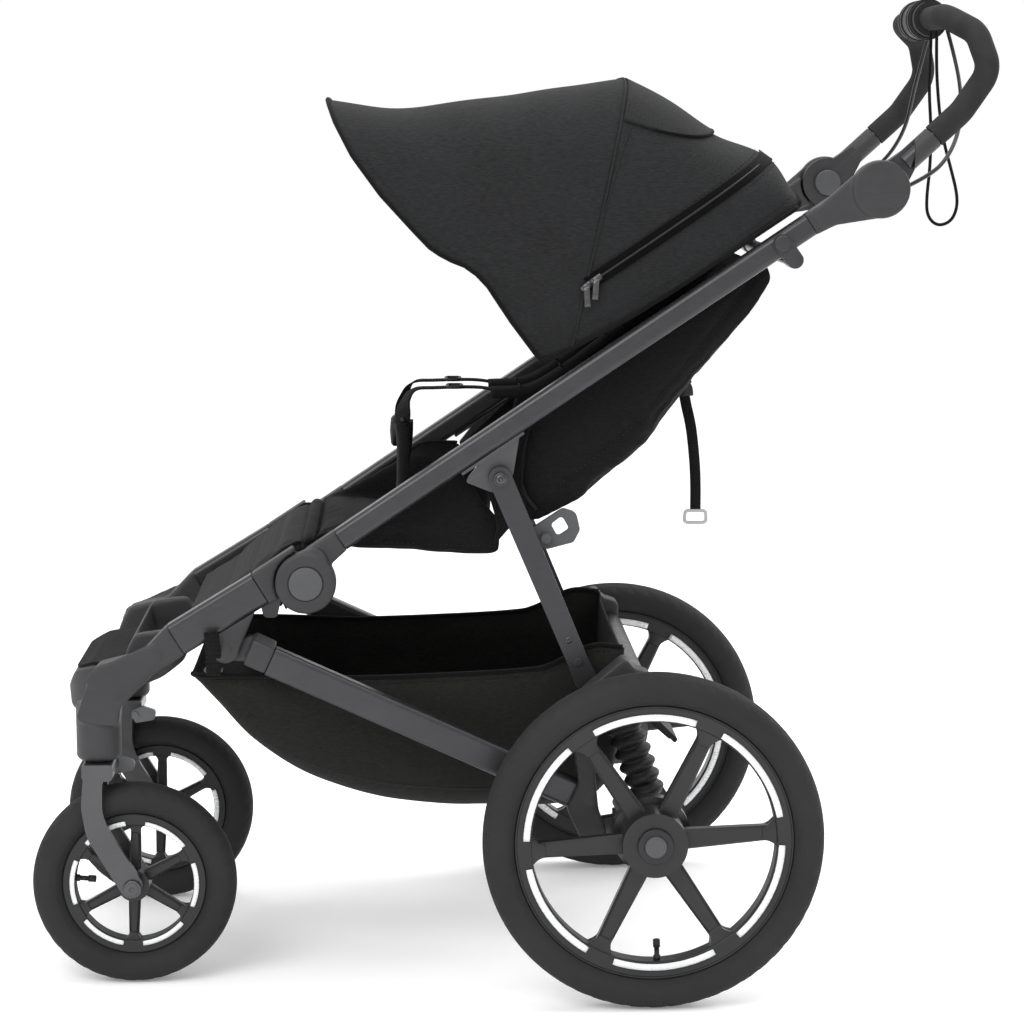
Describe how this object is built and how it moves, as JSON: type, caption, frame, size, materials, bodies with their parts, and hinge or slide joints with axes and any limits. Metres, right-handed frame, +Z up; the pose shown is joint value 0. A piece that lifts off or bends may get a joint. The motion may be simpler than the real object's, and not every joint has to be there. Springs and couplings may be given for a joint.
{
  "type": "baby stroller",
  "caption": "Four-wheel jogging stroller with folding aluminium frame, spoked air tyres, reclining seat, canopy, basket and twist brake.",
  "frame": {"origin": "on the floor, under the middle of the stroller's length and width", "axes": "-X is forwards (front wheels), +X is the handle end, -Y is the stroller's left side, +Z up"},
  "size_m": [1.1475, 0.69, 1.18],
  "materials": {
    "frame_grey": "satin near-black paint",
    "casting_grey": "glass-filled plastic, fine texture",
    "silver_metal": "satin graphite paint",
    "steel": "zinc-plated",
    "black_plastic": "moulded, fine texture",
    "grip_foam": "closed-cell foam",
    "tyre_rubber": "matt rubber with tread",
    "rim_grey": "satin moulded",
    "cap_grey": "satin moulded",
    "fabric_melange": "near-black melange polyester weave",
    "fabric_dark": "black woven polyester",
    "webbing": "woven webbing",
    "tread_rubber": "ribbed rubber",
    "boot_rubber": "elastomer",
    "light_plastic": "light grey moulded",
    "cable_sheath": "smooth sheath"
  },
  "bodies": {
    "upper_frame": {"upper_tubes": "frame_grey", "main_hinges": "casting_grey", "hinge_caps": "cap_grey", "handle_hubs": "casting_grey", "strut_brackets": "silver_metal", "backrest_crossbar": "frame_grey", "seat_pan": "fabric_dark", "canopy": "fabric_melange", "harness_buckle": "black_plastic"},
    "handlebar": {"handlebar_tube": "silver_metal", "handlebar_grip": "grip_foam", "handle_knuckles": "casting_grey", "twist_collars": "black_plastic", "brake_cable_left": "cable_sheath", "brake_cable_right": "cable_sheath", "wrist_strap": "webbing"},
    "brake_twist": {"brake_twist_grip": "black_plastic"},
    "front_frame": {"front_tubes": "frame_grey", "hinge_knuckles": "casting_grey", "fold_torque_bar": "frame_grey", "fork_housings": "casting_grey", "rail_clevises": "casting_grey", "footrest": "black_plastic", "footrest_tread": "tread_rubber", "leg_panel": "fabric_melange"},
    "chassis": {"chassis_rails": "frame_grey", "rail_elbows": "casting_grey", "rear_castings": "casting_grey", "rear_crossbeam": "frame_grey", "suspension_boots": "boot_rubber", "basket": "fabric_melange"},
    "struts": {"rear_struts": "frame_grey"},
    "brake_pedal": {"brake_pedal": "black_plastic"},
    "backrest": {"backrest": "fabric_dark", "recline_strap": "webbing", "harness_pads": "webbing"},
    "canopy_bow": {"canopy_bow": "silver_metal"},
    "canopy_front": {"canopy_visor": "fabric_melange", "visor_wire": "silver_metal"},
    "fold_latch": {"fold_latch": "light_plastic"},
    "handle_button_left": {"handle_button_left": "cap_grey"},
    "fork_left": {"fork_left": "silver_metal", "front_axle_left": "steel"},
    "swivel_lock_left": {"swivel_lock_left": "light_plastic"},
    "front_wheel_left": {"front_tyre_left": "tyre_rubber", "front_rim_left": "rim_grey"},
    "suspension_left": {"suspension_arm_left": "steel"},
    "rear_wheel_left": {"rear_tyre_left": "tyre_rubber", "rear_rim_left": "rim_grey"},
    "wheel_button_left": {"wheel_button_left": "cap_grey"},
    "handle_button_right": {"handle_button_right": "cap_grey"},
    "fork_right": {"fork_right": "silver_metal", "front_axle_right": "steel"},
    "swivel_lock_right": {"swivel_lock_right": "light_plastic"},
    "front_wheel_right": {"front_tyre_right": "tyre_rubber", "front_rim_right": "rim_grey"},
    "suspension_right": {"suspension_arm_right": "steel"},
    "rear_wheel_right": {"rear_tyre_right": "tyre_rubber", "rear_rim_right": "rim_grey"},
    "wheel_button_right": {"wheel_button_right": "cap_grey"}
  },
  "joints": [
    {"name": "fold", "type": "hinge", "parent": "upper_frame", "child": "front_frame", "pos_m": [-0.2407, 0, 0.4915], "axis": [0, -1, 0], "range_deg": [0, 110], "deforming": ["leg_panel", "basket", "seat_pan"]},
    {"name": "fold_rail", "type": "hinge", "parent": "front_frame", "child": "chassis", "pos_m": [-0.337, 0, 0.4115], "axis": [0, -1, 0], "range_deg": [-77, 0]},
    {"name": "fold_strut", "type": "hinge", "parent": "upper_frame", "child": "struts", "pos_m": [-0.0108, 0, 0.6145], "axis": [0, -1, 0], "range_deg": [0, 66]},
    {"name": "handle_angle", "type": "hinge", "parent": "upper_frame", "child": "handlebar", "pos_m": [0.4342, 0, 0.9523], "axis": [0, -1, 0], "range_deg": [-100, 20]},
    {"name": "brake_twist", "type": "hinge", "parent": "handlebar", "child": "brake_twist", "pos_m": [0.52, 0, 1.155], "axis": [0, -1, 0], "range_deg": [-30, 45]},
    {"name": "handle_button_left", "type": "slide", "parent": "handlebar", "child": "handle_button_left", "axis": [0, -1, 0], "range_m": [0, 0.0035], "stiffness_N_per_m": 900, "springref_m": -0.003},
    {"name": "swivel_left", "type": "hinge", "parent": "front_frame", "child": "fork_left", "pos_m": [-0.491, -0.183, 0.3], "axis": [0, 0, 1], "continuous": true},
    {"name": "swivel_lock_left", "type": "hinge", "parent": "fork_left", "child": "swivel_lock_left", "pos_m": [-0.48, -0.14, 0.257], "axis": [0, -1, 0], "range_deg": [-25, 0]},
    {"name": "front_spin_left", "type": "hinge", "parent": "fork_left", "child": "front_wheel_left", "pos_m": [-0.4512, -0.183, 0.1225], "axis": [0, -1, 0], "continuous": true},
    {"name": "suspension_left", "type": "hinge", "parent": "chassis", "child": "suspension_left", "pos_m": [0.098, -0.244, 0.196], "axis": [0, -1, 0], "range_deg": [0, 7], "stiffness_Nm_per_rad": 60, "springref_deg": -14.32, "deforming": ["suspension_boots"]},
    {"name": "rear_spin_left", "type": "hinge", "parent": "suspension_left", "child": "rear_wheel_left", "pos_m": [0.1644, -0.31, 0.2], "axis": [0, -1, 0], "continuous": true},
    {"name": "wheel_button_left", "type": "slide", "parent": "rear_wheel_left", "child": "wheel_button_left", "axis": [0, 1, 0], "range_m": [0, 0.003], "stiffness_N_per_m": 900, "springref_m": -0.003},
    {"name": "handle_button_right", "type": "slide", "parent": "handlebar", "child": "handle_button_right", "axis": [0, 1, 0], "range_m": [0, 0.0035], "stiffness_N_per_m": 900, "springref_m": -0.003},
    {"name": "swivel_right", "type": "hinge", "parent": "front_frame", "child": "fork_right", "pos_m": [-0.491, 0.183, 0.3], "axis": [0, 0, 1], "continuous": true},
    {"name": "swivel_lock_right", "type": "hinge", "parent": "fork_right", "child": "swivel_lock_right", "pos_m": [-0.48, 0.14, 0.257], "axis": [0, -1, 0], "range_deg": [-25, 0]},
    {"name": "front_spin_right", "type": "hinge", "parent": "fork_right", "child": "front_wheel_right", "pos_m": [-0.4512, 0.183, 0.1225], "axis": [0, -1, 0], "continuous": true},
    {"name": "suspension_right", "type": "hinge", "parent": "chassis", "child": "suspension_right", "pos_m": [0.098, 0.244, 0.196], "axis": [0, -1, 0], "range_deg": [0, 7], "stiffness_Nm_per_rad": 60, "springref_deg": -14.32, "deforming": ["suspension_boots"]},
    {"name": "rear_spin_right", "type": "hinge", "parent": "suspension_right", "child": "rear_wheel_right", "pos_m": [0.1644, 0.31, 0.2], "axis": [0, -1, 0], "continuous": true},
    {"name": "wheel_button_right", "type": "slide", "parent": "rear_wheel_right", "child": "wheel_button_right", "axis": [0, -1, 0], "range_m": [0, 0.003], "stiffness_N_per_m": 900, "springref_m": -0.003},
    {"name": "brake_pedal", "type": "hinge", "parent": "chassis", "child": "brake_pedal", "pos_m": [0.168, 0, 0.3], "axis": [0, -1, 0], "range_deg": [-20, 0]},
    {"name": "recline", "type": "hinge", "parent": "upper_frame", "child": "backrest", "pos_m": [0.008, 0, 0.574], "axis": [0, -1, 0], "range_deg": [-8, 0], "deforming": ["harness_pads"]},
    {"name": "canopy_fold", "type": "hinge", "parent": "upper_frame", "child": "canopy_bow", "pos_m": [0.062, 0, 0.786], "axis": [0, -1, 0], "range_deg": [-45, 0], "deforming": ["canopy", "canopy_visor"]},
    {"name": "visor_fold", "type": "hinge", "parent": "canopy_bow", "child": "canopy_front", "pos_m": [0.062, 0, 0.786], "axis": [0, -1, 0], "range_deg": [-54, 0], "deforming": ["canopy_visor"]},
    {"name": "fold_latch", "type": "hinge", "parent": "struts", "child": "fold_latch", "pos_m": [0.044, 0, 0.541], "axis": [0, -1, 0], "range_deg": [0, 40]}
  ],
  "couplings": [
    {"joint": "fold_rail", "follows": "fold", "ratio": -0.7},
    {"joint": "fold_strut", "follows": "fold", "ratio": 0.6},
    {"joint": "visor_fold", "follows": "canopy_fold", "ratio": 1.2}
  ]
}
